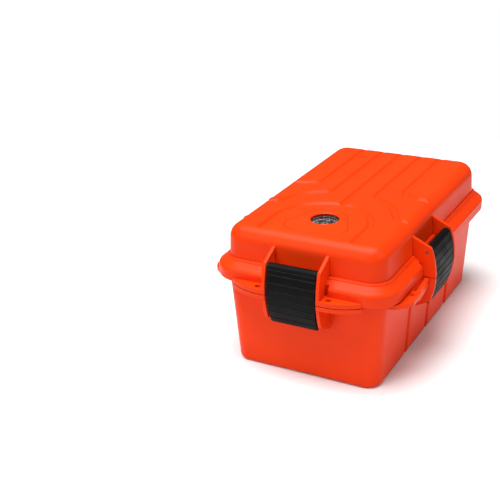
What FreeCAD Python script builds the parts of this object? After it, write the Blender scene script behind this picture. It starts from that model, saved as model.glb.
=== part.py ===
"""Waterproof first aid box: a moulded tub and a domed lid on two rear hinges.

Three snap latches hang from the lid and hook under ledges on the tub, and a
small liquid-style compass sits flush in the lid.  Millimetres, +Z up, +Y
towards the hinges, origin at the middle of the tub's underside.
"""
import FreeCAD, Part
import math
import os
from FreeCAD import Vector

# ---------------------------------------------------------------- heights
FLOOR = 2.8                  # tub floor thickness
PARTING = 80.0               # plane where tub and lid meet
PARTING_GAP = 0.3            # each half stands this far back from the plane
RIM_TOP = 88.0               # tub rim stands up inside the lid skirt
SHOULDER_EDGE = 91.0         # top of the lid skirt's upright wall
DOME_FOOT = 96.0
LID_TOP = 124.8

# ------------------------------------------------------------ plan outline
RIM_X = 73.5                 # half width over the tub rim
RIM_Y = 119.4                # half length over the tub rim
RIM_R = 17.5                 # plan corner radius of the rim
TUB_BASE_X = 65.2
TUB_BASE_Y = 115.5
TUB_CORNER_R = 12.0
TUB_FOOT_R = 4.0
WALL = 2.7
RIM_WIDTH = 4.4
TUB_WALL_INSET = 2.4         # tub wall at the parting plane, inside the rim
WALL_TOP = PARTING + 1.0     # where the drafted wall ends inside the rim's flare
SKIRT_OUT = 7.6              # lid skirt outer face, outside the rim
SKIRT_IN = 0.6               # lid skirt inner face, running clear of the rim
SKIRT_X = RIM_X + SKIRT_OUT
SKIRT_Y = RIM_Y + SKIRT_OUT
DOME_INSET = 2.0             # dome wall at its foot, inside the rim
DOME_DRAFT = 1.6
DOME_EDGE_R = 12.0

# --------------------------------------------------------- gasket and lip
GASKET_IN = -4.2
GASKET_LOW = RIM_TOP + 0.2
GROOVE_TOP = 91.4
LIP_IN = -6.4
LIP_LOW = RIM_TOP + 0.6
LID_SKIN = 2.9

# ------------------------------------------------------------ tub flutes
FLUTE_Y = (-50.0, 0.0, 50.0)
FLUTE_R = 3.8
FLUTE_DEPTH = 2.6
FLUTE_TOP = 54.0

# ------------------------------------------------- latches, ears, gussets
# "out" is measured outward from the lid skirt's outer face.
FACE_R = 66.0                # convex outer face of a latch
FACE_OUT = -56.1             # centre of that curve
FACE_Z = 82.0
PIVOT_OUT = 2.44
PIVOT_Z = 101.8
BARREL_R = 4.2
LATCH_HALF = 21.2
LATCH_TIP_HALF = 20.5
BARREL_HALF = 22.3
LATCH_PLATE = 2.8
LATCH_TIP_Z = 54.0
TAPER_TOP_Z = 76.0
HOOK_TOP_Z = 75.5
HOOK_OUT = 0.9
HOOK_NOSE = 1.6              # height of the hook's blunt nose
HOOK_FOOT_Z = 66.5
GRIP_RIDGES = 7
GRIP_FIRST_Z = 58.7
GRIP_PITCH = 6.55
GRIP_HALF = 0.8
GRIP_PROUD = 0.35
EAR_IN = 22.6                # inner face of an ear, from the latch's middle
EAR_THICK = 2.8
EAR_FACE_R = FACE_R + 0.3
LEDGE_LOW = 75.8
LEDGE_OUT = 0.4
POCKET_HALF = 28.4
POCKET_OUT = -3.4
SIDE_LATCH_Y = -29.0
LATCH_PIN_R = 1.5
RUN_FIT = 0.06               # radial clearance of a pin that turns

# ---------------------------------------------------------- carrying tabs
TAB_THICK = 3.8
TAB_ARC_R = 48.0             # plan curve of the front tabs
TAB_ARC_X = 28.0
TAB_ARC_Y = -89.7
TAB_END_X = 57.0
LOCK_HOLE_X = 31.5
LOCK_HOLE_Y = -132.0
HOLE_R = 2.6
LOOP_HOLE_X = SKIRT_X + 2.6
LOOP_HOLE_Y = -88.5
LOOP_REACH = 8.2             # how far the loop stands out from the skirt
LOOP_BAR = 3.4
LOOP_BAR_DROP = 7.2

# ------------------------------------------------------------------ hinge
HINGE_Y = 131.5
HINGE_Z = PARTING
HINGE_X = 45.0
KNUCKLE_R = 4.0
LID_KNUCKLE = 16.0
TUB_KNUCKLE = 8.0
KNUCKLE_GAP = 0.4
HINGE_PIN_R = 1.5

# ------------------------------------------------------------ lid grooves
GROOVE_PITCH = 19.5
GROOVE_DEPTH = 1.9
GROOVE_FLOOR = 3.0           # width of a groove's flat floor
GROOVE_FLARE = 1.2           # run over rise of its sloped sides
RIB_SPREAD = 1.4             # how much wider a rib is than its groove
BAY_R = 41.0                 # groove that bends round the compass
BAY_Y = -78.0
BAY_FRONT_Y = -105.0
REAR_RUN_Y = 130.0
MIDDLE_RUN = REAR_RUN_Y - BAY_Y - BAY_R

# ---------------------------------------------------------------- compass
COMPASS_Y = -70.0
COVER_THICK = 1.2
COVER_GAP = 0.35
COVER_REAR_R = 18.5
COVER_FRONT_R = 13.5
COVER_FRONT_X = 13.5
COVER_FRONT_Y = -87.5
WINDOW_R = 11.9
WINDOW_EDGE = 1.0
WELL_R = 13.5
WELL_FLOOR = LID_TOP - 12.0
BOSS_R = 16.0
BOSS_LOW = LID_TOP - 14.0
CAPSULE_R = 13.3
CAPSULE_BORE = 11.3
CAPSULE_TOP = LID_TOP - 3.7
CAPSULE_FLOOR = LID_TOP - 10.8
SEAL_TOP = LID_TOP - 3.0
LENS_TOP = LID_TOP - 1.4
CARD_R = 10.6
CARD_Z = LID_TOP - 5.6
CARD_THICK = 0.7
MAGNET_LENGTH = 14.0
MAGNET_WIDTH = 2.8
MAGNET_THICK = 1.1
BEARING_R = 1.4
BEARING_LOW = LID_TOP - 6.4
BEARING_TOP = LID_TOP - 4.4
NEEDLE_R = 0.8
NEEDLE_TIP = LID_TOP - 5.0

X_AXIS = Vector(1, 0, 0)
Y_AXIS = Vector(0, 1, 0)
Z_AXIS = Vector(0, 0, 1)


# ------------------------------------------------------------ shape helpers
def rounded_rectangle(half_x, half_y, radius, z):
    """Closed wire of four sides and four corner arcs at height z."""
    edges = []
    corners = ((1, -1, -45), (1, 1, 45), (-1, 1, 135), (-1, -1, 225))
    ends = []
    for sign_x, sign_y, middle in corners:
        centre = Vector(sign_x * (half_x - radius), sign_y * (half_y - radius), z)
        points = []
        for turn in (-45, 0, 45):
            angle = math.radians(middle + turn)
            points.append(centre + Vector(math.cos(angle), math.sin(angle), 0) * radius)
        ends.append(points)
    for index, points in enumerate(ends):
        edges.append(Part.Arc(*points).toShape())
        following = ends[(index + 1) % len(ends)]
        edges.append(Part.LineSegment(points[2], following[0]).toShape())
    return Part.Wire(edges)


def rim_offset(offset, z):
    """Plan outline of the box, `offset` outside the tub rim."""
    return rounded_rectangle(RIM_X + offset, RIM_Y + offset, RIM_R + offset, z)


def loft(wires):
    return Part.makeLoft(wires, True, True)


def stack(levels):
    """Solid through rim offsets given as (offset, z) pairs, lowest first."""
    return loft([rim_offset(offset, z) for offset, z in levels])


def prism(points, height, base=Vector(0, 0, 0)):
    """Upright prism over plan points (x, y)."""
    corners = [Vector(x, y, 0) + base for x, y in points]
    face = Part.Face(Part.makePolygon(corners + corners[:1]))
    return face.extrude(Vector(0, 0, height))


def cylinder(radius, start, end):
    return Part.makeCylinder(radius, (end - start).Length, start, end - start)


def disc(radius, low, high):
    """Round part of the compass."""
    return cylinder(radius, Vector(0, COMPASS_Y, low), Vector(0, COMPASS_Y, high))


def mirrored(shape):
    """The same shape on the other side of the box."""
    return shape.mirror(Vector(0, 0, 0), X_AXIS)


def edges_at(shape, z, least_length=1.0):
    """Edges that lie wholly at height z."""
    found = []
    for edge in shape.Edges:
        box = edge.BoundBox
        if abs(box.ZMin - z) < 1e-4 and abs(box.ZMax - z) < 1e-4 and edge.Length > least_length:
            found.append(edge)
    return found


def wall_half(z):
    """Half width of the tub's side wall at height z."""
    top = RIM_X - TUB_WALL_INSET
    return TUB_BASE_X + (top - TUB_BASE_X) * z / WALL_TOP


# ---------------------------------------------------------- latch stations
def side_profile(out, z):
    """Point of a latch station: `out` from the skirt face, in the YZ plane."""
    return Vector(0, -SKIRT_Y - out, z)


def face_point(radius, z):
    """Point of the latches' convex face, or of a curve parallel to it."""
    return side_profile(FACE_OUT + math.sqrt(radius ** 2 - (z - FACE_Z) ** 2), z)


def across(face, half_width):
    """Extrude a station profile to both sides of its middle."""
    solid = face.extrude(Vector(2 * half_width, 0, 0))
    solid.translate(Vector(-half_width, 0, 0))
    return solid


def face_arc(radius, z_from, z_to):
    middle = face_point(radius, (z_from + z_to) / 2)
    return Part.Arc(face_point(radius, z_from), middle, face_point(radius, z_to)).toShape()


def line(start, end):
    return Part.LineSegment(start, end).toShape()


def closed_face(edges):
    return Part.Face(Part.Wire(edges))


def polygon_face(points):
    return Part.Face(Part.makePolygon(points + points[:1]))


def at_stations(shape):
    """A part made for the front latch, placed at the front, right and left."""
    right = shape.copy()
    right.rotate(Vector(0, 0, 0), Z_AXIS, 90)
    right.translate(Vector(SKIRT_X - SKIRT_Y, SIDE_LATCH_Y, 0))
    return {"front": shape, "right": right, "left": mirrored(right)}


# -------------------------------------------------------------------- tub
def drafted_block(low, high, corner_r):
    """Block with flat drafted sides between two (half x, half y, z) levels."""
    low_x, low_y, low_z = low
    high_x, high_y, high_z = high
    block = Part.makeWedge(-low_x, low_z, -low_y, -high_y, -high_x,
                           low_x, high_z, low_y, high_y, high_x)
    block.rotate(Vector(0, 0, 0), X_AXIS, 90)
    upright = [edge for edge in block.Edges if edge.BoundBox.ZLength > 1]
    return block.makeFillet(corner_r, upright)


def tub_shell():
    top_x = RIM_X - TUB_WALL_INSET
    top_y = RIM_Y - TUB_WALL_INSET
    outer = drafted_block((TUB_BASE_X, TUB_BASE_Y, 0), (top_x, top_y, WALL_TOP), TUB_CORNER_R)
    outer = outer.makeFillet(TUB_FOOT_R, edges_at(outer, 0.0))
    rim = stack([(-TUB_WALL_INSET - 1, PARTING - 1), (0, PARTING + TUB_WALL_INSET), (0, RIM_TOP)])
    outer = outer.fuse(rim)

    cavity = drafted_block((TUB_BASE_X - WALL, TUB_BASE_Y - WALL, FLOOR),
                           (RIM_X - RIM_WIDTH, RIM_Y - RIM_WIDTH, RIM_TOP + 0.5),
                           TUB_CORNER_R - WALL)
    return outer, cavity


def flute(y, radius):
    """Round bar along the drafted side wall, tapering off at the flute's end."""
    outside = FLUTE_R - FLUTE_DEPTH
    start = Vector(wall_half(-4) + outside, y, -4)
    end = Vector(wall_half(FLUTE_TOP) + outside, y, FLUTE_TOP)
    tip = Part.makeCone(radius, radius * 0.35, radius * 0.8, end, end - start)
    return cylinder(radius, start, end), tip


def catch_ledge():
    """Ledge under which a latch hooks, with a sloped nose to ride over."""
    return across(polygon_face([
        side_profile(-14, LEDGE_LOW),
        side_profile(LEDGE_OUT, LEDGE_LOW),
        side_profile(LEDGE_OUT, PARTING - PARTING_GAP - 1.6),
        side_profile(LEDGE_OUT - 1.6, PARTING - PARTING_GAP),
        side_profile(-14, PARTING - PARTING_GAP),
    ]), EAR_IN + 1)


def pair_of_plates(face):
    """The same plate on both sides of a latch."""
    plate = face.extrude(Vector(EAR_THICK, 0, 0))
    plate.translate(Vector(EAR_IN, 0, 0))
    return plate.fuse(mirrored(plate))


def gussets():
    """Triangular plates on the tub, flush with the closed latch's face."""
    top = PARTING - PARTING_GAP
    low = 58.0
    face = closed_face([
        line(side_profile(-14, top), face_point(EAR_FACE_R, top)),
        face_arc(EAR_FACE_R, top, low),
        line(face_point(EAR_FACE_R, low), side_profile(-13, 49)),
        line(side_profile(-13, 49), side_profile(-14, top)),
    ])
    return pair_of_plates(face)


def front_tabs(low, thickness):
    """Curved tabs beside the front latch, each with a padlock hole."""
    arc = cylinder(TAB_ARC_R, Vector(TAB_ARC_X, TAB_ARC_Y, low),
                   Vector(TAB_ARC_X, TAB_ARC_Y, low + thickness))
    window = Part.makeBox(TAB_END_X - EAR_IN, 35, thickness, Vector(EAR_IN, -150, low))
    tab = arc.common(window)
    hole = cylinder(HOLE_R, Vector(LOCK_HOLE_X, LOCK_HOLE_Y, low - 1),
                    Vector(LOCK_HOLE_X, LOCK_HOLE_Y, low + thickness + 1))
    tab = tab.cut(hole)
    return tab.fuse(mirrored(tab))


def lanyard_loop():
    """Tab at a front corner and the bar that runs back to the latch gusset."""
    top = PARTING - PARTING_GAP
    gusset_y = SIDE_LATCH_Y - EAR_IN - EAR_THICK / 2
    outline = [(-24, -107), (-14, -114.5), (-3, -111.5), (5.5, -104), (LOOP_REACH, -98.5),
               (LOOP_REACH, -81), (-18, -81)]
    tab = prism(outline, TAB_THICK, Vector(SKIRT_X, 0, top - TAB_THICK))
    rounded = [edge for edge in tab.Edges
               if abs(edge.BoundBox.ZLength - TAB_THICK) < 1e-6 and edge.BoundBox.XMin > SKIRT_X - 4]
    tab = tab.makeFillet(1.8, rounded)
    bar_start = Vector(SKIRT_X + LOOP_REACH - 0.9, -85.4, 0)
    bar_end = Vector(SKIRT_X + LOOP_REACH - 3.6, gusset_y, 0)
    bar = prism([(bar_start.x, bar_start.y), (bar_end.x, bar_end.y),
                 (bar_end.x - LOOP_BAR, bar_end.y), (bar_start.x - LOOP_BAR, bar_start.y)],
                LOOP_BAR_DROP, Vector(0, 0, top - LOOP_BAR_DROP))
    hole = cylinder(HOLE_R, Vector(LOOP_HOLE_X, LOOP_HOLE_Y, top - 12),
                    Vector(LOOP_HOLE_X, LOOP_HOLE_Y, top + 1))
    return tab.fuse(bar).cut(hole)


def tangent_point(origin, centre, radius, side):
    """Where a line from origin touches a circle in the YZ plane."""
    reach = centre - origin
    distance = reach.Length
    angle = math.atan2(reach.z, reach.y) + side * math.asin(radius / distance)
    length = math.sqrt(distance ** 2 - radius ** 2)
    return origin + Vector(0, math.cos(angle), math.sin(angle)) * length


def knuckle(web_points, x_from, x_to, bore):
    """Hinge barrel with the web that carries it, between two x positions."""
    centre = Vector(0, HINGE_Y, HINGE_Z)
    web = polygon_face(web_points).extrude(Vector(x_to - x_from, 0, 0))
    web.translate(Vector(x_from, 0, 0))
    start = centre + Vector(x_from, 0, 0)
    end = centre + Vector(x_to, 0, 0)
    barrel = cylinder(KNUCKLE_R, start, end)
    return web.fuse(barrel).cut(cylinder(bore, start - X_AXIS, end + X_AXIS))


def tub_knuckles():
    centre = Vector(0, HINGE_Y, HINGE_Z)
    foot = Vector(0, 115.5, 63)
    web = [
        Vector(0, 115.5, PARTING - PARTING_GAP),
        foot,
        tangent_point(foot, centre, KNUCKLE_R, -1),
        centre,
        Vector(0, HINGE_Y, PARTING - PARTING_GAP),
    ]
    inner = HINGE_X - LID_KNUCKLE / 2 - KNUCKLE_GAP
    outer = HINGE_X + LID_KNUCKLE / 2 + KNUCKLE_GAP
    near = knuckle(web, inner - TUB_KNUCKLE, inner, HINGE_PIN_R)
    far = knuckle(web, outer, outer + TUB_KNUCKLE, HINGE_PIN_R)
    return near.fuse(far)


def make_tub():
    outer, cavity = tub_shell()
    additions = list(at_stations(catch_ledge()).values())
    additions += list(at_stations(gussets()).values())
    additions += [front_tabs(PARTING - PARTING_GAP - TAB_THICK, TAB_THICK)]
    loop = lanyard_loop()
    knuckles = tub_knuckles()
    additions += [loop, mirrored(loop), knuckles, mirrored(knuckles)]
    tub = outer.multiFuse(additions).cut(cavity)

    ribs = []
    grooves = []
    for y in FLUTE_Y:
        for shape in flute(y, FLUTE_R + WALL):
            rib = shape.common(outer)
            ribs += [rib, mirrored(rib)]
        for shape in flute(y, FLUTE_R):
            grooves += [shape, mirrored(shape)]
    return tub.multiFuse(ribs).cut(grooves).removeSplitter()


# -------------------------------------------------------------------- lid
def lid_outside():
    """Skirt with its sloped shoulder band, the ridge above it, and the dome."""
    low = PARTING + PARTING_GAP
    band = stack([
        (SKIRT_OUT - 1.2, low),
        (SKIRT_OUT - 0.3, low + 0.5),
        (SKIRT_OUT, low + 1.4),
        (SKIRT_OUT, SHOULDER_EDGE - 1.6),
        (SKIRT_OUT - 0.5, SHOULDER_EDGE - 0.4),
        (SKIRT_OUT - 1.4, SHOULDER_EDGE + 0.6),
        (0.4, DOME_FOOT),
    ])
    ridge = stack([(0.4, DOME_FOOT - 1.0), (0.2, DOME_FOOT + 1.0), (-1.0, DOME_FOOT + 1.5)])
    dome = stack([(-DOME_INSET, SHOULDER_EDGE), (-DOME_INSET - DOME_DRAFT, LID_TOP)])
    dome = dome.makeFillet(DOME_EDGE_R, edges_at(dome, LID_TOP))
    return band, ridge, dome


def latch_pockets():
    """Clear the shoulder band away behind and beside each latch."""
    above_tab = PARTING + TAB_THICK + PARTING_GAP
    beside = across(polygon_face([
        side_profile(POCKET_OUT, above_tab),
        side_profile(12, above_tab),
        side_profile(12, 104),
        side_profile(POCKET_OUT, 104),
    ]), POCKET_HALF)
    behind = across(polygon_face([
        side_profile(POCKET_OUT, 70),
        side_profile(12, 70),
        side_profile(12, 104),
        side_profile(POCKET_OUT, 104),
    ]), EAR_IN)
    pockets = []
    for shape in (beside, behind):
        pockets += list(at_stations(shape).values())
    return pockets


def ears():
    """Fins from the dome that carry a latch pin and guard the latch."""
    low = PARTING + PARTING_GAP
    shoulder_z = 106.3
    root = side_profile(-12, 114.8)
    face = closed_face([
        line(root, face_point(EAR_FACE_R, shoulder_z)),
        face_arc(EAR_FACE_R, shoulder_z, low),
        line(face_point(EAR_FACE_R, low), side_profile(-5, low)),
        line(side_profile(-5, low), side_profile(-12, 98)),
        line(side_profile(-12, 98), root),
    ])
    through = cylinder(LATCH_PIN_R, side_profile(PIVOT_OUT, PIVOT_Z) - X_AXIS * 40,
                       side_profile(PIVOT_OUT, PIVOT_Z) + X_AXIS * (EAR_IN + 1.6))
    return pair_of_plates(face).cut(through)


def lid_knuckles():
    centre = Vector(0, HINGE_Y, HINGE_Z)
    crown = Vector(0, SKIRT_Y - 1.5, 92)
    web = [
        Vector(0, SKIRT_Y - 1.5, PARTING + PARTING_GAP),
        Vector(0, HINGE_Y, PARTING + PARTING_GAP),
        centre,
        tangent_point(crown, centre, KNUCKLE_R, 1),
        crown,
    ]
    return knuckle(web, HINGE_X - LID_KNUCKLE / 2, HINGE_X + LID_KNUCKLE / 2,
                   HINGE_PIN_R + RUN_FIT)


def lid_cavities():
    """Everything inside the lid: rim space, gasket groove and dome."""
    rim_space = stack([(SKIRT_IN, PARTING - 4), (SKIRT_IN, LIP_LOW)])
    groove = stack([(SKIRT_IN, LIP_LOW), (SKIRT_IN, GROOVE_TOP)])
    groove = groove.cut(stack([(GASKET_IN, LIP_LOW), (GASKET_IN, GROOVE_TOP)]))
    ceiling = LID_TOP - LID_SKIN
    dome = stack([
        (LIP_IN, PARTING - 4),
        (LIP_IN, SHOULDER_EDGE),
        (LIP_IN - 0.7, ceiling - 5.5),
        (LIP_IN - 2.4, ceiling - 1.8),
        (LIP_IN - 6.0, ceiling),
    ])
    boss = disc(BOSS_R, BOSS_LOW + 1, LID_TOP)
    boss_foot = Part.makeCone(BOSS_R - 1, BOSS_R, 1, Vector(0, COMPASS_Y, BOSS_LOW))
    return rim_space, groove, dome.cut([boss, boss_foot] + channels(LID_SKIN))


def plan_point(x, y):
    return Vector(x, y, 0)


def rounded_path(points, radii):
    """Wire of straight runs through the points, its corners made arcs."""
    edges = []
    last = points[0]
    for before, corner, after, radius in zip(points, points[1:], points[2:], radii):
        towards = (before - corner).normalize()
        away = (after - corner).normalize()
        half_angle = towards.getAngle(away) / 2
        trim = radius / math.tan(half_angle)
        bisector = (towards + away).normalize()
        middle = corner + bisector * (radius / math.sin(half_angle) - radius)
        edges.append(line(last, corner + towards * trim))
        edges.append(Part.Arc(corner + towards * trim, middle, corner + away * trim).toShape())
        last = corner + away * trim
    edges.append(line(last, points[-1]))
    return Part.Wire(edges)


def bay_path():
    """Groove round the compass: two legs joined by half a ring."""
    left = plan_point(-BAY_R, BAY_Y)
    right = plan_point(BAY_R, BAY_Y)
    return Part.Wire([
        line(plan_point(-BAY_R, BAY_FRONT_Y), left),
        Part.Arc(left, plan_point(0, BAY_Y + BAY_R), right).toShape(),
        line(right, plan_point(BAY_R, BAY_FRONT_Y)),
    ])


def channel(path, skin):
    """Sloped-sided channel along a path; a skin below it leaves a rib.

    Without a path it is the straight run down the middle of the lid.
    """
    floor = LID_TOP - GROOVE_DEPTH - skin
    mouth = LID_TOP + 1.0 - skin
    half_mouth = (GROOVE_FLOOR + skin * RIB_SPREAD) / 2 + (mouth - floor) * GROOVE_FLARE
    half_floor = half_mouth if skin else GROOVE_FLOOR / 2
    wires = []
    for half, z in ((half_floor, floor), (half_mouth, mouth)):
        if path:
            outline = path.makeOffset2D(half, 0, False, False)
            outline.translate(Vector(0, 0, z))
        else:
            outline = rounded_rectangle(half, MIDDLE_RUN / 2 + half, half - 0.01, z)
            outline.translate(Vector(0, REAR_RUN_Y - MIDDLE_RUN / 2, 0))
        wires.append(outline)
    return loft(wires)


def channels(skin):
    """The lid's sunk pattern: five straight runs, four of them branching."""
    branches = (
        (((GROOVE_PITCH, REAR_RUN_Y), (GROOVE_PITCH, -9), (43, -25), (55, -50), (64.5, -51)),
         (12, 40, 9)),
        (((2 * GROOVE_PITCH, REAR_RUN_Y), (2 * GROOVE_PITCH, 9), (53, 0), (64.5, -1)),
         (12, 14)),
    )
    shapes = [
        channel(bay_path(), skin),
        channel(None, skin),
    ]
    for points, radii in branches:
        branch = channel(rounded_path([plan_point(x, y) for x, y in points], radii), skin)
        shapes += [branch, mirrored(branch)]
    return shapes


def cover_outline(grow, low, high):
    """Rounded three-cornered plate shape round the compass."""
    circles = [
        (Vector(0, COMPASS_Y, low), COVER_REAR_R + grow),
        (Vector(COVER_FRONT_X, COVER_FRONT_Y, low), COVER_FRONT_R + grow),
        (Vector(-COVER_FRONT_X, COVER_FRONT_Y, low), COVER_FRONT_R + grow),
    ]
    rise = Vector(0, 0, high - low)
    shape = cylinder(circles[0][1], circles[0][0], circles[0][0] + rise)
    for centre, radius in circles[1:]:
        shape = shape.fuse(cylinder(radius, centre, centre + rise))
    rear, right, left = circles
    step = right[0] - rear[0]
    tilt = math.atan2(step.y, step.x) + math.acos((rear[1] - right[1]) / step.Length)
    normal = Vector(math.cos(tilt), math.sin(tilt), 0)
    corners = [rear[0] + normal * rear[1], right[0] + normal * right[1],
               right[0] - Y_AXIS * right[1]]
    corners += [Vector(-corner.x, corner.y, corner.z) for corner in reversed(corners)]
    body = Part.Face(Part.makePolygon(corners + corners[:1])).extrude(rise)
    return shape.fuse(body).removeSplitter()


def make_lid():
    band, ridge, dome = lid_outside()
    band = band.cut(latch_pockets())
    ridge = ridge.cut(latch_pockets())
    additions = [ridge, dome]
    additions += list(at_stations(ears()).values())
    knuckles = lid_knuckles()
    additions += [front_tabs(PARTING + PARTING_GAP, TAB_THICK), knuckles, mirrored(knuckles)]
    lid = band.multiFuse(additions)
    lid = lid.cut(channels(0))
    lid = lid.cut(list(lid_cavities()))
    recess = cover_outline(COVER_GAP, LID_TOP - COVER_THICK, LID_TOP + 2)
    lid = lid.cut([recess, disc(WELL_R, WELL_FLOOR, LID_TOP + 2)])
    return lid.removeSplitter()


def make_gasket():
    low = GASKET_LOW
    ring = stack([(SKIRT_IN - 0.7, low), (SKIRT_IN - 0.1, low + 0.8), (SKIRT_IN - 0.1, GROOVE_TOP)])
    hole = stack([(GASKET_IN + 0.7, low - 0.01), (GASKET_IN + 0.1, low + 0.8),
                  (GASKET_IN + 0.1, GROOVE_TOP + 0.01)])
    return ring.cut(hole)


# ---------------------------------------------------------------- latches
def make_latch():
    """Sprung latch: rolled nose on its pin, curved plate, hook and tip."""
    nose_z = PIVOT_Z
    inner = FACE_R - LATCH_PLATE
    plate = closed_face([
        face_arc(FACE_R, nose_z, LATCH_TIP_Z),
        line(face_point(FACE_R, LATCH_TIP_Z), face_point(inner, LATCH_TIP_Z)),
        face_arc(inner, LATCH_TIP_Z, nose_z),
        line(face_point(inner, nose_z), face_point(FACE_R, nose_z)),
    ])
    latch = across(plate, LATCH_HALF)
    hook = across(polygon_face([
        side_profile(8, HOOK_TOP_Z),
        side_profile(HOOK_OUT, HOOK_TOP_Z),
        side_profile(HOOK_OUT, HOOK_TOP_Z - HOOK_NOSE),
        face_point(inner + 0.4, HOOK_FOOT_Z),
        side_profile(8, HOOK_FOOT_Z + 2),
    ]), LATCH_HALF)
    pivot = side_profile(PIVOT_OUT, PIVOT_Z)
    barrel = cylinder(BARREL_R, pivot - X_AXIS * LATCH_HALF, pivot + X_AXIS * LATCH_HALF)
    collar = cylinder(BARREL_R - 1.0, pivot - X_AXIS * BARREL_HALF, pivot + X_AXIS * BARREL_HALF)
    ridges = []
    for index in range(GRIP_RIDGES):
        z = GRIP_FIRST_Z + GRIP_PITCH * index
        ridges.append(across(polygon_face([
            face_point(FACE_R - 0.3, z - GRIP_HALF),
            face_point(FACE_R + GRIP_PROUD, z - GRIP_HALF / 3),
            face_point(FACE_R + GRIP_PROUD, z),
            face_point(FACE_R - 0.3, z + GRIP_HALF),
        ]), LATCH_HALF - 0.4))
    latch = latch.multiFuse([hook, barrel, collar] + ridges)
    bore = cylinder(LATCH_PIN_R + RUN_FIT, pivot - X_AXIS * 30, pivot + X_AXIS * 30)
    return latch.cut([bore] + tip_tapers()).removeSplitter()


def tip_tapers():
    """Wedges that narrow the latch towards its tip, so it lifts clear."""
    tapers = []
    for sign in (-1, 1):
        corners = [
            Vector(sign * LATCH_HALF, -SKIRT_Y - 20, TAPER_TOP_Z),
            Vector(sign * LATCH_TIP_HALF, -SKIRT_Y - 20, LATCH_TIP_Z - 3),
            Vector(sign * (LATCH_HALF + 4), -SKIRT_Y - 20, LATCH_TIP_Z - 3),
            Vector(sign * (LATCH_HALF + 4), -SKIRT_Y - 20, TAPER_TOP_Z),
        ]
        tapers.append(polygon_face(corners).extrude(Y_AXIS * 40))
    return tapers


def make_latch_pin():
    pivot = side_profile(PIVOT_OUT, PIVOT_Z)
    return cylinder(LATCH_PIN_R, pivot - X_AXIS * (EAR_IN + EAR_THICK - 0.2),
                    pivot + X_AXIS * (EAR_IN + 1.5))


def make_hinge_pin():
    inner = HINGE_X - LID_KNUCKLE / 2 - KNUCKLE_GAP - TUB_KNUCKLE
    outer = HINGE_X + LID_KNUCKLE / 2 + KNUCKLE_GAP + TUB_KNUCKLE
    centre = Vector(0, HINGE_Y, HINGE_Z)
    shank = cylinder(HINGE_PIN_R, centre + X_AXIS * (inner - 0.6), centre + X_AXIS * outer)
    head = cylinder(2.5, centre + X_AXIS * outer, centre + X_AXIS * (outer + 1.2))
    return shank.fuse(head)


# ---------------------------------------------------------------- compass
def make_compass_cover():
    low = LID_TOP - COVER_THICK
    plate = cover_outline(0, low, LID_TOP)
    window = disc(WINDOW_R, low - 1, LID_TOP + 1)
    bevel = Part.makeCone(WINDOW_R, WINDOW_R + WINDOW_EDGE, WINDOW_EDGE,
                          Vector(0, COMPASS_Y, LID_TOP - WINDOW_EDGE))
    return plate.cut([window, bevel])


def make_compass_capsule():
    cup = disc(CAPSULE_R, WELL_FLOOR, CAPSULE_TOP)
    return cup.cut(disc(CAPSULE_BORE, CAPSULE_FLOOR, CAPSULE_TOP + 1))


def make_compass_seal():
    ring = disc(CAPSULE_R, CAPSULE_TOP, SEAL_TOP)
    return ring.cut(disc(CAPSULE_BORE, CAPSULE_TOP - 1, SEAL_TOP + 1))


def make_compass_lens():
    return disc(CAPSULE_R, SEAL_TOP, LENS_TOP)


def make_compass_card():
    card = disc(CARD_R, CARD_Z, CARD_Z + CARD_THICK)
    return card.cut(disc(BEARING_R, CARD_Z - 1, CARD_Z + 2))


def make_compass_magnet():
    low = CARD_Z - MAGNET_THICK
    corner = Vector(-MAGNET_WIDTH / 2, COMPASS_Y - MAGNET_LENGTH / 2, low)
    bar = Part.makeBox(MAGNET_WIDTH, MAGNET_LENGTH, MAGNET_THICK, corner)
    ring = disc(BEARING_R + 1.2, low, CARD_Z)
    return bar.fuse(ring).cut(disc(BEARING_R, low - 1, CARD_Z + 1)).removeSplitter()


def needle(tip_clearance, low, tip):
    """Pointed bearing needle, or the same shape grown by a clearance."""
    cone_height = 1.6
    shaft = disc(NEEDLE_R + tip_clearance, low, tip - cone_height)
    point = Part.makeCone(NEEDLE_R + tip_clearance, 0.12 + tip_clearance, cone_height,
                          Vector(0, COMPASS_Y, tip - cone_height))
    return shaft.fuse(point).removeSplitter()


def make_compass_bearing():
    hat = disc(BEARING_R, BEARING_LOW, BEARING_TOP)
    return hat.cut(needle(0.08, BEARING_LOW - 2, NEEDLE_TIP + 0.08))


def make_compass_pivot():
    foot = Part.makeCone(2.4, 1.4, 0.8, Vector(0, COMPASS_Y, CAPSULE_FLOOR))
    return needle(0, CAPSULE_FLOOR, NEEDLE_TIP).fuse(foot).removeSplitter()


def build():
    """Every node of the box by name."""
    nodes = {
        "tub": make_tub(),
        "lid": make_lid(),
        "lid_gasket": make_gasket(),
        "compass_cover": make_compass_cover(),
        "compass_capsule": make_compass_capsule(),
        "compass_seal": make_compass_seal(),
        "compass_lens": make_compass_lens(),
        "compass_card": make_compass_card(),
        "compass_magnet": make_compass_magnet(),
        "compass_bearing": make_compass_bearing(),
        "compass_pivot": make_compass_pivot(),
    }
    for side, shape in at_stations(make_latch()).items():
        nodes[side + "_latch"] = shape
    for side, shape in at_stations(make_latch_pin()).items():
        nodes[side + "_latch_pin"] = shape
    hinge_pin = make_hinge_pin()
    nodes["right_hinge_pin"] = hinge_pin
    nodes["left_hinge_pin"] = mirrored(hinge_pin)
    return nodes


os.makedirs("parts", exist_ok=True)
for name, shape in build().items():
    shape.exportStep("parts/" + name + ".step")
    print(name, "solids", len(shape.Solids), "valid", shape.isValid(),
          "volume", round(shape.Volume, 1))
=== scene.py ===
"""Finishes, compass dial, floor, lights and camera for the hinged first aid box."""

import math

import bmesh
import bpy
from mathutils import Matrix, Vector


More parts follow.
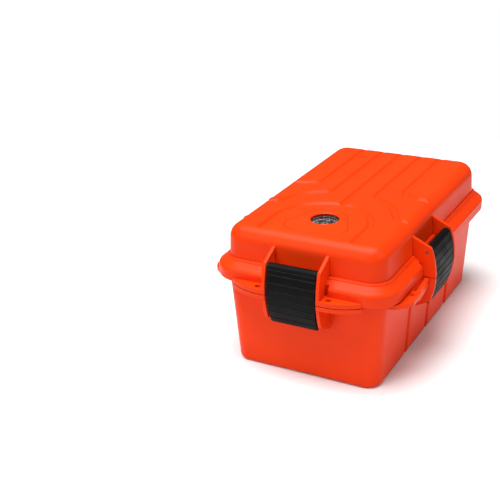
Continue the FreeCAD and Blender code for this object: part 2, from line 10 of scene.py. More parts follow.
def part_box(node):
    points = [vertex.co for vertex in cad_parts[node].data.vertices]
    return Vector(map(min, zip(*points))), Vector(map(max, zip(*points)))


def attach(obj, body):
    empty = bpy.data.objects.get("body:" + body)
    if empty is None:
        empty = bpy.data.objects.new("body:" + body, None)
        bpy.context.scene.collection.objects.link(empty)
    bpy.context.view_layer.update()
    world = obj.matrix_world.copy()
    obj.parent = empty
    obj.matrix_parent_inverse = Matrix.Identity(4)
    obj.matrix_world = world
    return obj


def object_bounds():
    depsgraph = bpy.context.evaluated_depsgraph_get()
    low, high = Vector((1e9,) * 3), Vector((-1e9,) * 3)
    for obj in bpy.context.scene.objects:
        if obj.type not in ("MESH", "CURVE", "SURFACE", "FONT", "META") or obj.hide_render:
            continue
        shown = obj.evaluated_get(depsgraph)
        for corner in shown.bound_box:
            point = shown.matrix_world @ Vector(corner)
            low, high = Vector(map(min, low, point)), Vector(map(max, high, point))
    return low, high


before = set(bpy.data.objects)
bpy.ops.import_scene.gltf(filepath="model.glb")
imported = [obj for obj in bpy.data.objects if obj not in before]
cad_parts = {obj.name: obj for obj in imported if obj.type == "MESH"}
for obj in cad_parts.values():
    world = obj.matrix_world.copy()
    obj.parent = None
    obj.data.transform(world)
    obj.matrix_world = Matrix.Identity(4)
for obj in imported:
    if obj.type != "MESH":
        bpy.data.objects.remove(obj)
CAD_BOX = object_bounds()
CARD_LOW, CARD_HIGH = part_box("compass_card")
BOX_CENTRE = (CAD_BOX[0] + CAD_BOX[1]) / 2

bl_info = {
    "name": "First Aid Box",
    "version": (1, 0, 0),
    "blender": (4, 5, 0),
    "location": "View3D > Sidebar > First Aid Box",
    "description": "Finishes, compass dial, floor, lights and camera of a hinged first aid box",
    "category": "Object",
}

MM = 0.001

# Colours that gather on the pieces or show through them, and the painted shade of the shell's
# hollows.
# Painted shade: a darker red that stands in for the shade in the shell's grooves, gaps and
# hollows.
SHELL_HOLLOW_SHADE = (0.40, 0.010, 0.001)
LATCH_DUST = (0.16, 0.14, 0.12)
RUBBER_DUST = (0.2, 0.15, 0.12)
STEEL_TARNISH = (0.22, 0.22, 0.21)
MAGNET_COLOUR = (0.34, 0.34, 0.36)
MAGNET_TARNISH = (0.24, 0.23, 0.23)
BRASS_TARNISH = (0.45, 0.29, 0.12)
CAPSULE_SCUFFED = (0.035, 0.036, 0.04)
CARD_FADED = (0.022, 0.024, 0.03)
BRIGHT_PRINT_WORN = (0.5, 0.52, 0.56)
DIM_PRINT_WORN = (0.09, 0.10, 0.12)
LENS_CLEAN = (0.96, 0.98, 1.0)
LENS_SMEARED = (0.90, 0.94, 0.97)

# Strength of each surface's gloss, on the shader's scale where 0.5 is plain plastic.
SHELL_GLOSS = 0.10
LATCH_GLOSS = 0.08
CARD_GLOSS = 0.08
PRINT_GLOSS = 0.15
LENS_GLOSS = 0.15
ACRYLIC_IOR = 1.49
LENS_ALPHA = 0.22               # the rest of the light goes straight through to the dial

BEVEL_SAMPLES = 6
HOLLOW_SAMPLES = 8

# Dial marks, as fractions of the card's radius.
RING_INNER, RING_OUTER = 0.955, 0.985
TICK_TOP = 0.94
LONG_TICK_EVERY = 3
LONG_TICK = (0.13, 0.022)       # length, half width
SHORT_TICK = (0.07, 0.012)
ROSE_POINTS = 8
ROSE_LONG_REACH, ROSE_SHORT_REACH = 0.50, 0.33
ROSE_WAIST, ROSE_FOOT = 0.13, 0.03
NUMERAL_PLACE = 0.66
NUMERALS = ("36", "9", "18", "27")

CIRCLE_STEPS = 96
NUMERAL_CURVE_STEPS = 3

SENSOR_WIDTH = 36.0
CAMERA_REACH = 50.0
FLOOR_SHADE = 0.985             # the floor's darker patches against its paler ones
KEY_PLACE, KEY_SIZE = (-0.2, -0.3, 1.8), 1.6
FRONT_PLACE, FRONT_SIZE = (-0.6, -1.4, 0.8), 0.8
SIDE_PLACE, SIDE_SIZE = (1.3, -0.2, 0.9), 0.7


# ------------------------------------------------------------------ settings
class ShellSettings(bpy.types.PropertyGroup):
    """Moulded orange plastic of the tub, lid and compass cover."""

    colour: bpy.props.FloatVectorProperty(
        name="Plastic", description="Colour of the moulded shell",
        default=(0.80, 0.043, 0.0025), size=3, subtype="COLOR", min=0, max=1)
    deep_colour: bpy.props.FloatVectorProperty(
        name="Deep Plastic", description="Colour of the slightly deeper patches of the shell",
        default=(0.78, 0.039, 0.0022), size=3, subtype="COLOR", min=0, max=1)
    rub_colour: bpy.props.FloatVectorProperty(
        name="Rubbed Edge", description="Paler colour of rubbed edges",
        default=(0.86, 0.075, 0.012), size=3, subtype="COLOR", min=0, max=1)
    roughness: bpy.props.FloatProperty(
        name="Roughness", description="Roughness of a clean moulded face",
        default=0.37, min=0, max=1, subtype="FACTOR")
    grain: bpy.props.FloatProperty(
        name="Grain Size", description="Size of the grain left by the mould",
        default=0.5 * MM, min=0.05 * MM, soft_max=5 * MM, subtype="DISTANCE", unit="LENGTH")
    edge: bpy.props.FloatProperty(
        name="Edge Radius", description="How softly the shell's edges catch the light",
        default=0.8 * MM, min=0.05 * MM, soft_max=2 * MM, subtype="DISTANCE", unit="LENGTH")


class LatchSettings(bpy.types.PropertyGroup):
    """Black plastic of the three latches."""

    colour: bpy.props.FloatVectorProperty(
        name="Plastic", description="Colour of the latches",
        default=(0.003, 0.003, 0.003), size=3, subtype="COLOR", min=0, max=1)
    rub_colour: bpy.props.FloatVectorProperty(
        name="Rubbed Edge", description="Greyer colour of rubbed ridges and edges",
        default=(0.03, 0.03, 0.029), size=3, subtype="COLOR", min=0, max=1)
    roughness: bpy.props.FloatProperty(
        name="Roughness", description="Roughness of a clean latch face",
        default=0.48, min=0, max=1, subtype="FACTOR")
    grain: bpy.props.FloatProperty(
        name="Grain Size", description="Size of the sparked texture on the latches",
        default=0.35 * MM, min=0.05 * MM, soft_max=5 * MM, subtype="DISTANCE", unit="LENGTH")


class SealSettings(bpy.types.PropertyGroup):
    """Rubber of the lid gasket and of the seal under the window."""

    colour: bpy.props.FloatVectorProperty(
        name="Rubber", description="Colour of the rubber",
        default=(0.018, 0.016, 0.016), size=3, subtype="COLOR", min=0, max=1)
    bloom_colour: bpy.props.FloatVectorProperty(
        name="Bloom", description="Grey bloom that old rubber grows",
        default=(0.07, 0.065, 0.06), size=3, subtype="COLOR", min=0, max=1)
    roughness: bpy.props.FloatProperty(
        name="Roughness", description="Roughness of the rubber",
        default=0.72, min=0, max=1, subtype="FACTOR")


class PinSettings(bpy.types.PropertyGroup):
    """Steel and brass of the pins, the magnet, the needle and its bearing."""

    steel_colour: bpy.props.FloatVectorProperty(
        name="Steel", description="Colour of drawn stainless steel",
        default=(0.30, 0.30, 0.29), size=3, subtype="COLOR", min=0, max=1)
    brass_colour: bpy.props.FloatVectorProperty(
        name="Brass", description="Colour of the bearing's brass",
        default=(0.72, 0.50, 0.20), size=3, subtype="COLOR", min=0, max=1)
    roughness: bpy.props.FloatProperty(
        name="Roughness", description="Roughness along the drawing lines",
        default=0.30, min=0, max=1, subtype="FACTOR")


class CompassSettings(bpy.types.PropertyGroup):
    """Compass capsule, window and dial."""

    capsule_colour: bpy.props.FloatVectorProperty(
        name="Capsule", description="Colour of the cup round the dial",
        default=(0.02, 0.021, 0.024), size=3, subtype="COLOR", min=0, max=1)
    dial_colour: bpy.props.FloatVectorProperty(
        name="Dial", description="Ground colour of the dial card",
        default=(0.010, 0.011, 0.014), size=3, subtype="COLOR", min=0, max=1)
    print_colour: bpy.props.FloatVectorProperty(
        name="Print", description="Colour of the printed marks",
        default=(0.72, 0.74, 0.78), size=3, subtype="COLOR", min=0, max=1)
    dim_colour: bpy.props.FloatVectorProperty(
        name="Dim Print", description="Colour of the darker half of each point of the rose",
        default=(0.14, 0.16, 0.20), size=3, subtype="COLOR", min=0, max=1)
    print_thickness: bpy.props.FloatProperty(
        name="Print Thickness", description="How far the marks stand above the dial",
        default=0.08 * MM, min=0.01 * MM, soft_max=0.3 * MM, subtype="DISTANCE", unit="LENGTH")
    ticks: bpy.props.IntProperty(
        name="Ticks", description="Number of marks round the dial", default=36, min=8, max=72)
    numeral_height: bpy.props.FloatProperty(
        name="Numeral Height", description="Height of the numerals on the dial",
        default=2.9 * MM, min=0.5 * MM, soft_max=5 * MM, subtype="DISTANCE", unit="LENGTH")


class StageSettings(bpy.types.PropertyGroup):
    """Floor, lights and camera."""

    floor_colour: bpy.props.FloatVectorProperty(
        name="Floor", description="Colour of the plain floor",
        default=(0.90, 0.90, 0.90), size=3, subtype="COLOR", min=0, max=1)
    floor_radius: bpy.props.FloatProperty(
        name="Floor Radius", description="How far the floor reaches",
        default=0.55, min=0.1, soft_max=20, subtype="DISTANCE", unit="LENGTH")
    sky: bpy.props.FloatProperty(
        name="Surround", description="Light that the room itself gives the box",
        default=0.13, min=0, soft_max=3)
    key_power: bpy.props.FloatProperty(
        name="Key Light", description="Power of the soft light overhead",
        default=60.0, min=0, soft_max=200, subtype="POWER", unit="POWER")
    front_power: bpy.props.FloatProperty(
        name="Front Light", description="Power of the soft light in front of the box",
        default=5.2, min=0, soft_max=100, subtype="POWER", unit="POWER")
    side_power: bpy.props.FloatProperty(
        name="Side Light", description="Power of the soft light beside the box",
        default=5.5, min=0, soft_max=100, subtype="POWER", unit="POWER")
    camera_place: bpy.props.FloatVectorProperty(
        name="Camera Place", description="Where the camera stands",
        default=(0.32183, -0.75195, 0.43579), size=3, subtype="TRANSLATION", unit="LENGTH")
    camera_aim: bpy.props.FloatVectorProperty(
        name="Camera Aim", description="Point that the camera looks at",
        default=(-0.08797, -0.04401, 0.06944), size=3, subtype="TRANSLATION", unit="LENGTH")
    camera_roll: bpy.props.FloatProperty(
        name="Camera Roll", description="Turn of the camera about its own axis",
        default=-0.0470, subtype="ANGLE", unit="ROTATION")
    camera_lens: bpy.props.FloatProperty(
        name="Focal Length", description="Focal length in millimetres on a 36 mm sensor",
        default=70.80, min=10, soft_max=300)


# --------------------------------------------------------------- node helpers
def add_node(tree, kind, inputs=None, **settings):
    """New node whose inputs take plain values or the sockets they join."""
    made = tree.nodes.new(kind)
    for name, value in settings.items():
        setattr(made, name, value)
    for name, value in (inputs or {}).items():
        if isinstance(value, bpy.types.NodeSocket):
            tree.links.new(value, made.inputs[name])
        else:
            made.inputs[name].default_value = value
    return made


def math_node(tree, operation, first, second=0.0, clamp=False):
    """Result of a sum on values or sockets."""
    made = add_node(tree, "ShaderNodeMath", {0: first, 1: second}, operation=operation,
                    use_clamp=clamp)
    return made.outputs[0]


def mix_colours(tree, factor, first, second):
    """Colour between two others; factor, first and second are values or sockets."""
    made = tree.nodes.new("ShaderNodeMix")
    made.data_type = "RGBA"
    for index, value in ((0, factor), (6, first), (7, second)):
        if isinstance(value, bpy.types.NodeSocket):
            tree.links.new(value, made.inputs[index])
        elif index == 0:
            made.inputs[index].default_value = value
        else:
            made.inputs[index].default_value = (*value, 1)
    return made.outputs[2]


def ramp(tree, value, low, high, to_low=0.0, to_high=1.0):
    """Value carried from the range low..high to to_low..to_high, clamped."""
    made = add_node(tree, "ShaderNodeMapRange",
                    {"Value": value, "From Min": low, "From Max": high,
                     "To Min": to_low, "To Max": to_high})
    return made.outputs[0]


def new_group(name, inputs, outputs):
    """Empty effect group with float inputs (name, default) and named outputs."""
    group = bpy.data.node_groups.new(name, "ShaderNodeTree")
    for label, default in inputs:
        made = group.interface.new_socket(name=label, in_out="INPUT",
                                          socket_type="NodeSocketFloat")
        made.default_value = default
    for label, kind in outputs:
        group.interface.new_socket(name=label, in_out="OUTPUT", socket_type=kind)
    return group, group.nodes.new("NodeGroupInput"), group.nodes.new("NodeGroupOutput")


def place(tree, name, **values):
    """An effect group in a material, with its own values."""
    made = tree.nodes.new("ShaderNodeGroup")
    made.node_tree = bpy.data.node_groups[name]
    for label, value in values.items():
        made.inputs[label.replace("_", " ")].default_value = value
    return made


FLOAT = "NodeSocketFloat"


# -------------------------------------------------------------- effect groups
def make_mould_grain():
    """Fine mould texture and the slow colour drift of moulded plastic."""
    group, inside, outside = new_group(
        "Mould Grain", [("Grain Size", 0.0005), ("Drift Size", 0.06)],
        [("Height", FLOAT), ("Drift", FLOAT)])
    coords = group.nodes.new("ShaderNodeTexCoord").outputs["Object"]
    fine_scale = math_node(group, "DIVIDE", 1.0, inside.outputs["Grain Size"])
    slow_scale = math_node(group, "DIVIDE", 1.0, inside.outputs["Drift Size"])
    fine = add_node(group, "ShaderNodeTexNoise",
                    {"Vector": coords, "Scale": fine_scale, "Detail": 3.0, "Roughness": 0.55})
    slow = add_node(group, "ShaderNodeTexNoise",
                    {"Vector": coords, "Scale": slow_scale, "Detail": 2.0, "Distortion": 0.6})
    group.links.new(fine.outputs["Fac"], outside.inputs["Height"])
    group.links.new(ramp(group, slow.outputs["Fac"], 0.35, 0.65), outside.inputs["Drift"])


def make_edge_wear():
    """Mask of rubbed convex edges, broken up so that it isn't an even line."""
    group, inside, outside = new_group(
        "Edge Wear", [("Width", 0.0006), ("Break Size", 0.004)], [("Mask", FLOAT)])
    coords = group.nodes.new("ShaderNodeTexCoord").outputs["Object"]
    soft = add_node(group, "ShaderNodeBevel", {"Radius": inside.outputs["Width"]},
                    samples=BEVEL_SAMPLES)
    plain = group.nodes.new("ShaderNodeNewGeometry").outputs["Normal"]
    turn = add_node(group, "ShaderNodeVectorMath", {0: soft.outputs[0], 1: plain},
                    operation="DOT_PRODUCT").outputs["Value"]
    sharp = ramp(group, turn, 0.995, 0.90)
    break_scale = math_node(group, "DIVIDE", 1.0, inside.outputs["Break Size"])
    patches = add_node(group, "ShaderNodeTexNoise",
                       {"Vector": coords, "Scale": break_scale, "Detail": 4.0})
    kept = ramp(group, patches.outputs["Fac"], 0.42, 0.62)
    group.links.new(math_node(group, "MULTIPLY", sharp, kept), outside.inputs["Mask"])


def make_scuffs():
    """Hairline scratches in crossing directions, from being carried and packed."""
    group, inside, outside = new_group(
        "Scuffs", [("Spacing", 0.03), ("Amount", 0.5)], [("Lines", FLOAT)])
    coords = group.nodes.new("ShaderNodeTexCoord").outputs["Object"]
    scale = math_node(group, "DIVIDE", 1.0, inside.outputs["Spacing"])
    lines = 0.0
    for turn in (0.5, 2.1):
        turned = add_node(group, "ShaderNodeMapping",
                          {"Vector": coords, "Rotation": (turn, turn * 0.7, turn),
                           "Scale": (0.6, 30.0, 30.0)})
        streaks = add_node(group, "ShaderNodeTexNoise",
                           {"Vector": turned.outputs[0], "Scale": scale, "Detail": 0.0})
        thin = ramp(group, streaks.outputs["Fac"], 0.74, 0.80)
        patch_scale = math_node(group, "MULTIPLY", scale, turn)
        patches = add_node(group, "ShaderNodeTexNoise", {"Vector": coords, "Scale": patch_scale})
        seen = ramp(group, patches.outputs["Fac"], 0.5, 0.62)
        lines = math_node(group, "ADD", lines, math_node(group, "MULTIPLY", thin, seen))
    group.links.new(math_node(group, "MULTIPLY", lines, inside.outputs["Amount"], clamp=True),
                    outside.inputs["Lines"])


def make_smudges():
    """Slow patches where hands have dulled or polished a surface."""
    group, inside, outside = new_group("Smudges", [("Size", 0.04)], [("Patch", FLOAT)])
    coords = group.nodes.new("ShaderNodeTexCoord").outputs["Object"]
    scale = math_node(group, "DIVIDE", 1.0, inside.outputs["Size"])
    cloud = add_node(group, "ShaderNodeTexNoise",
                     {"Vector": coords, "Scale": scale, "Detail": 2.0, "Roughness": 0.5,
                      "Distortion": 0.2})
    group.links.new(ramp(group, cloud.outputs["Fac"], 0.35, 0.7), outside.inputs["Patch"])


def make_dirt_and_shade_mask():
    """Mask of gaps and hollows, most where they look up: settled dirt on the latches and rubber,
    painted shade on the orange shell.
    """
    group, inside, outside = new_group(
        "Settled Dirt And Painted Shade", [("Reach", 0.006), ("Amount", 0.3)], [("Mask", FLOAT)])
    coords = group.nodes.new("ShaderNodeTexCoord").outputs["Object"]
    normal = group.nodes.new("ShaderNodeNewGeometry").outputs["Normal"]
    up = add_node(group, "ShaderNodeSeparateXYZ", {0: normal}).outputs["Z"]
    hollow = add_node(group, "ShaderNodeAmbientOcclusion",
                      {"Distance": inside.outputs["Reach"]}, samples=HOLLOW_SAMPLES)
    # Darker where occlusion is high; on the orange shell this lays painted shade.
    deep = ramp(group, hollow.outputs["AO"], 0.85, 0.35)
    specks = add_node(group, "ShaderNodeTexNoise",
                      {"Vector": coords, "Scale": 900.0, "Detail": 4.0, "Roughness": 0.7})
    speckled = math_node(group, "MULTIPLY", deep,
                         ramp(group, specks.outputs["Fac"], 0.3, 0.5, 0.6, 1.0))
    facing = math_node(group, "MULTIPLY", speckled, ramp(group, up, -0.6, 0.4))
    group.links.new(math_node(group, "MULTIPLY", facing, inside.outputs["Amount"], clamp=True),
                    outside.inputs["Mask"])


def make_drawn_lines():
    """Fine lines across the piece's Z axis, as on drawn or turned metal."""
    group, inside, outside = new_group(
        "Drawn Lines", [("Line Width", 0.00008)], [("Lines", FLOAT)])
    coords = group.nodes.new("ShaderNodeTexCoord").outputs["Object"]
    scale = math_node(group, "DIVIDE", 1.0, inside.outputs["Line Width"])
    stretched = add_node(group, "ShaderNodeMapping",
                         {"Vector": coords, "Scale": (0.02, 0.02, 1.0)})
    noise = add_node(group, "ShaderNodeTexNoise",
                     {"Vector": stretched.outputs[0], "Scale": scale, "Detail": 2.0})
    group.links.new(noise.outputs["Fac"], outside.inputs["Lines"])


# ------------------------------------------------------------------ materials
def new_material(name):
    """Material, its node tree and its shader."""
    material = bpy.data.materials.new(name)
    material.use_nodes = True
    tree = material.node_tree
    return material, tree, tree.nodes["Principled BSDF"]


def soften(tree, shader, radius, height, depth):
    """Rounds the look of the edges and lays the grain's bump over them."""
    edge = add_node(tree, "ShaderNodeBevel", {"Radius": radius}, samples=BEVEL_SAMPLES)
    bump = add_node(tree, "ShaderNodeBump",
                    {"Height": height, "Distance": depth, "Strength": 1.0,
                     "Normal": edge.outputs[0]})
    tree.links.new(bump.outputs[0], shader.inputs["Normal"])


def orange_plastic(shell):
    """Moulded plastic with a faint grain, paler rubbed edges and painted shade in its seams and
    hollows.
    """
    material, tree, shader = new_material("orange_plastic")
    grain = place(tree, "Mould Grain", Grain_Size=shell.grain, Drift_Size=0.05)
    wear = place(tree, "Edge Wear", Width=0.5 * MM, Break_Size=5 * MM)
    scuffs = place(tree, "Scuffs", Spacing=24 * MM, Amount=0.15)
    smudges = place(tree, "Smudges", Size=32 * MM)
    # Occlusion mask for the painted shade in the shell's grooves and gaps.
    dust_and_shade = place(tree, "Settled Dirt And Painted Shade", Reach=1.5 * MM, Amount=0.75)

    plain = mix_colours(tree, grain.outputs["Drift"], shell.colour, shell.deep_colour)
    rubbed = mix_colours(tree, math_node(tree, "MULTIPLY", wear.outputs["Mask"], 0.25),
                         plain, shell.rub_colour)
    scuffed = mix_colours(tree, math_node(tree, "MULTIPLY", scuffs.outputs["Lines"], 0.25),
                          rubbed, shell.rub_colour)
    # Painted shade: the colour turns to a darker red where the mask finds hollows.
    dusty_and_shaded = mix_colours(tree, dust_and_shade.outputs["Mask"], scuffed, SHELL_HOLLOW_SHADE)
    tree.links.new(dusty_and_shaded, shader.inputs["Base Color"])

    low = shell.roughness - 0.02
    rough = ramp(tree, smudges.outputs["Patch"], 0, 1, low, low + 0.05)
    rough = math_node(tree, "ADD", rough,
                      math_node(tree, "MULTIPLY", dust_and_shade.outputs["Mask"], 0.3), clamp=True)
    tree.links.new(rough, shader.inputs["Roughness"])
    shader.inputs["IOR"].default_value = ACRYLIC_IOR
    shader.inputs["Specular IOR Level"].default_value = SHELL_GLOSS
    soften(tree, shader, shell.edge, grain.outputs["Height"], 0.012 * MM)
    return material


def black_plastic(latch):
    """Spark-textured black plastic, greyer where it is rubbed."""
    material, tree, shader = new_material("black_plastic")
    grain = place(tree, "Mould Grain", Grain_Size=latch.grain, Drift_Size=0.03)
    wear = place(tree, "Edge Wear", Width=0.35 * MM, Break_Size=3 * MM)
    scuffs = place(tree, "Scuffs", Spacing=12 * MM, Amount=0.8)
    smudges = place(tree, "Smudges", Size=15 * MM)
    dust_and_shade = place(tree, "Settled Dirt And Painted Shade", Reach=2 * MM, Amount=0.3)

    rubbed = mix_colours(tree, wear.outputs["Mask"], latch.colour, latch.rub_colour)
    scuffed = mix_colours(tree, math_node(tree, "MULTIPLY", scuffs.outputs["Lines"], 0.5),
                          rubbed, latch.rub_colour)
    dusty_and_shaded = mix_colours(tree, dust_and_shade.outputs["Mask"], scuffed, LATCH_DUST)
    tree.links.new(dusty_and_shaded, shader.inputs["Base Color"])
    rough = ramp(tree, smudges.outputs["Patch"], 0, 1,
                 latch.roughness - 0.06, latch.roughness + 0.08)
    rough = math_node(tree, "ADD", rough,
                      math_node(tree, "MULTIPLY", grain.outputs["Drift"], 0.05), clamp=True)
    tree.links.new(rough, shader.inputs["Roughness"])
    shader.inputs["Specular IOR Level"].default_value = LATCH_GLOSS
    soften(tree, shader, 0.3 * MM, grain.outputs["Height"], 0.03 * MM)
    return material


def rubber(name, seal):
    """Dull rubber with a grey bloom."""
    material, tree, shader = new_material(name)
    grain = place(tree, "Mould Grain", Grain_Size=0.25 * MM, Drift_Size=0.02)
    dust_and_shade = place(tree, "Settled Dirt And Painted Shade", Reach=4 * MM, Amount=0.5)
    bloom = math_node(tree, "MULTIPLY", grain.outputs["Drift"], 0.45)
    colour = mix_colours(tree, bloom, seal.colour, seal.bloom_colour)
    colour = mix_colours(tree, dust_and_shade.outputs["Mask"], colour, RUBBER_DUST)
    tree.links.new(colour, shader.inputs["Base Color"])
    rough = ramp(tree, grain.outputs["Drift"], 0, 1, seal.roughness - 0.08, seal.roughness + 0.1)
    tree.links.new(rough, shader.inputs["Roughness"])
    soften(tree, shader, 0.25 * MM, grain.outputs["Height"], 0.05 * MM)
    return material


def drawn_metal(name, colour, dull, pins):
    """Metal with fine lines and a little tarnish."""
    material, tree, shader = new_material(name)
    lines = place(tree, "Drawn Lines", Line_Width=0.08 * MM)
    smudges = place(tree, "Smudges", Size=6 * MM)
    tarnished = mix_colours(tree, smudges.outputs["Patch"], colour, dull)
    tree.links.new(tarnished, shader.inputs["Base Color"])
    shader.inputs["Metallic"].default_value = 1.0
    rough = ramp(tree, lines.outputs["Lines"], 0.3, 0.7,
                 pins.roughness - 0.08, pins.roughness + 0.12)
    tree.links.new(rough, shader.inputs["Roughness"])
    soften(tree, shader, 0.12 * MM, lines.outputs["Lines"], 0.004 * MM)
    return material


def capsule_plastic(compass):
    """Dark plastic of the cup round the dial."""
    material, tree, shader = new_material("capsule_plastic")
    grain = place(tree, "Mould Grain", Grain_Size=0.2 * MM, Drift_Size=0.01)
    colour = mix_colours(tree, grain.outputs["Drift"], compass.capsule_colour, CAPSULE_SCUFFED)
    tree.links.new(colour, shader.inputs["Base Color"])
    tree.links.new(ramp(tree, grain.outputs["Drift"], 0, 1, 0.3, 0.42),
                   shader.inputs["Roughness"])
    soften(tree, shader, 0.15 * MM, grain.outputs["Height"], 0.01 * MM)
    return material


def clear_lens():
    """Clear window: even glass with faint smudges and hairline scratches."""
    material, tree, shader = new_material("clear_lens")
    smudges = place(tree, "Smudges", Size=5 * MM)
    scuffs = place(tree, "Scuffs", Spacing=5 * MM, Amount=0.6)
    tint = mix_colours(tree, smudges.outputs["Patch"], LENS_CLEAN, LENS_SMEARED)
    tree.links.new(tint, shader.inputs["Base Color"])
    rough = ramp(tree, smudges.outputs["Patch"], 0, 1, 0.02, 0.06)
    rough = math_node(tree, "ADD", rough,
                      math_node(tree, "MULTIPLY", scuffs.outputs["Lines"], 0.2))
    tree.links.new(rough, shader.inputs["Roughness"])
    shader.inputs["Metallic"].default_value = 0.0
    shader.inputs["Transmission Weight"].default_value = 1.0
    shader.inputs["IOR"].default_value = ACRYLIC_IOR
    shader.inputs["Specular IOR Level"].default_value = LENS_GLOSS
    shader.inputs["Alpha"].default_value = LENS_ALPHA
    return material


def dial_card(compass):
    """Matt dark card under the printed marks."""
    material, tree, shader = new_material("dial_card")
    grain = place(tree, "Mould Grain", Grain_Size=0.15 * MM, Drift_Size=0.006)
    colour = mix_colours(tree, grain.outputs["Drift"], compass.dial_colour, CARD_FADED)
    tree.links.new(colour, shader.inputs["Base Color"])
    tree.links.new(ramp(tree, grain.outputs["Drift"], 0, 1, 0.6, 0.75),
                   shader.inputs["Roughness"])
    shader.inputs["Specular IOR Level"].default_value = CARD_GLOSS
    soften(tree, shader, 0.1 * MM, grain.outputs["Height"], 0.01 * MM)
    return material


def dial_print(name, colour, worn):
    """Printing ink of one colour, worn to another in patches."""
    material, tree, shader = new_material(name)
    grain = place(tree, "Mould Grain", Grain_Size=0.12 * MM, Drift_Size=0.002)
    colour = mix_colours(tree, grain.outputs["Drift"], colour, worn)
    tree.links.new(colour, shader.inputs["Base Color"])
    tree.links.new(ramp(tree, grain.outputs["Drift"], 0, 1, 0.45, 0.6),
                   shader.inputs["Roughness"])
    shader.inputs["Specular IOR Level"].default_value = PRINT_GLOSS
    bump = add_node(tree, "ShaderNodeBump",
                    {"Height": grain.outputs["Height"], "Distance": 0.006 * MM})
    tree.links.new(bump.outputs[0], shader.inputs["Normal"])
    return material


def floor_paper(stage):
    """Plain pale paper."""
    material, tree, shader = new_material("floor_paper")
    smudges = place(tree, "Smudges", Size=0.8)
    pale = tuple(stage.floor_colour)
    shade = tuple(value * FLOOR_SHADE for value in pale)
    tree.links.new(mix_colours(tree, smudges.outputs["Patch"], pale, shade),
                   shader.inputs["Base Color"])
    tree.links.new(ramp(tree, smudges.outputs["Patch"], 0, 1, 0.75, 0.85),
                   shader.inputs["Roughness"])
    return material


# ---------------------------------------------------------------- CAD finishes
def finish_nodes(names, material):
    """Gives CAD nodes a material in their one slot."""
    for name in names:
        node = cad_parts[name]
        node.data.materials.clear()
        node.data.materials.append(material)


# ------------------------------------------------------------ dial mark meshes
def dial_centre():
    """Middle of the card's upper face."""
    middle = (CARD_LOW + CARD_HIGH) / 2
    return Vector((middle.x, middle.y, CARD_HIGH.z))


def plate(mesh, outline, thickness):
    """Thin closed plate over an outline of (x, y) points, added to a bmesh."""
    low = [mesh.verts.new((x, y, 0.0)) for x, y in outline]
    high = [mesh.verts.new((x, y, thickness)) for x, y in outline]
    mesh.faces.new(list(reversed(low)))
    mesh.faces.new(high)
    for index in range(len(outline)):
        following = (index + 1) % len(outline)
        mesh.faces.new((low[index], low[following], high[following], high[index]))


def around(radius, angle):
    """Plan point at an angle clockwise from the dial's north."""
    return (radius * math.sin(angle), radius * math.cos(angle))


def ring(mesh, inner, outer, thickness):
    """Flat printed ring between two radii."""
    corners = []
    for step in range(CIRCLE_STEPS):
        angle = math.tau * step / CIRCLE_STEPS
        corners.append([mesh.verts.new((*around(radius, angle), height))
                        for radius, height in ((inner, 0), (outer, 0),
                                               (outer, thickness), (inner, thickness))])
    for here, there in zip(corners, corners[1:] + corners[:1]):
        for side in range(4):
            after = (side + 1) % 4
            mesh.faces.new((here[side], there[side], there[after], here[after]))


def mark_object(name, mesh, material):
    """Turns a bmesh of printed marks into a piece that rides on the dial card."""
    bmesh.ops.recalc_face_normals(mesh, faces=mesh.faces)
    data = bpy.data.meshes.new(name)
    mesh.to_mesh(data)
    mesh.free()
    piece = bpy.data.objects.new(name, data)
    bpy.context.scene.collection.objects.link(piece)
    piece.location = dial_centre()
    data.materials.append(material)
    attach(piece, "compass_card")


def dial_ticks(compass, radius, material):
    """Outer ring with a long tick every few short ones."""
    mesh = bmesh.new()
    thickness = compass.print_thickness
    ring(mesh, radius * RING_INNER, radius * RING_OUTER, thickness)
    for index in range(compass.ticks):
        angle = math.tau * index / compass.ticks
        length, half = SHORT_TICK if index % LONG_TICK_EVERY else LONG_TICK
        outward = Vector(around(1, angle))
        across = Vector((outward.y, -outward.x)) * (radius * half)
        top = outward * (radius * TICK_TOP)
        foot = outward * (radius * (TICK_TOP - length))
        plate(mesh, [foot - across, foot + across, top + across, top - across], thickness)
    mark_object("dial_ticks", mesh, material)


def dial_rose(compass, radius, bright, dim):
    """Pointed rose, each point split into a bright and a dim half."""
    for name, side, material in (("dial_rose_bright", 1, bright), ("dial_rose_dim", -1, dim)):
        mesh = bmesh.new()
        for index in range(ROSE_POINTS):
            angle = math.tau * index / ROSE_POINTS
            reach = ROSE_SHORT_REACH if index % 2 else ROSE_LONG_REACH
            tip = around(radius * reach, angle)
            waist = around(radius * ROSE_WAIST, angle + side * math.pi / ROSE_POINTS)
            foot = around(radius * ROSE_FOOT, angle)
            plate(mesh, [foot, waist, tip] if side > 0 else [foot, tip, waist],
                  compass.print_thickness)
        mark_object(name, mesh, material)


def dial_numerals(compass, radius, material):
    """Tens of degrees at the four quarters, as on a plain pocket compass."""
    for quarter, text in enumerate(NUMERALS):
        curve = bpy.data.curves.new("numeral_" + text, "FONT")
        curve.body = text
        curve.size = compass.numeral_height
        curve.align_x = "CENTER"
        curve.align_y = "CENTER"
        curve.extrude = compass.print_thickness / 2
        curve.resolution_u = NUMERAL_CURVE_STEPS
        lettering = bpy.data.objects.new("numeral_curve", curve)
        bpy.context.scene.collection.objects.link(lettering)
        bpy.context.view_layer.update()
        data = bpy.data.meshes.new_from_object(
            lettering.evaluated_get(bpy.context.evaluated_depsgraph_get()))
        bpy.data.objects.remove(lettering)
        angle = quarter * math.pi / 2
        turn = Matrix.Rotation(-angle, 4, "Z")
        lift = Matrix.Translation(
            (*around(radius * NUMERAL_PLACE, angle), compass.print_thickness / 2))
        data.transform(lift @ turn)
        mesh = bmesh.new()
        mesh.from_mesh(data)
        bpy.data.meshes.remove(data)
        mark_object("dial_numeral_" + text, mesh, material)


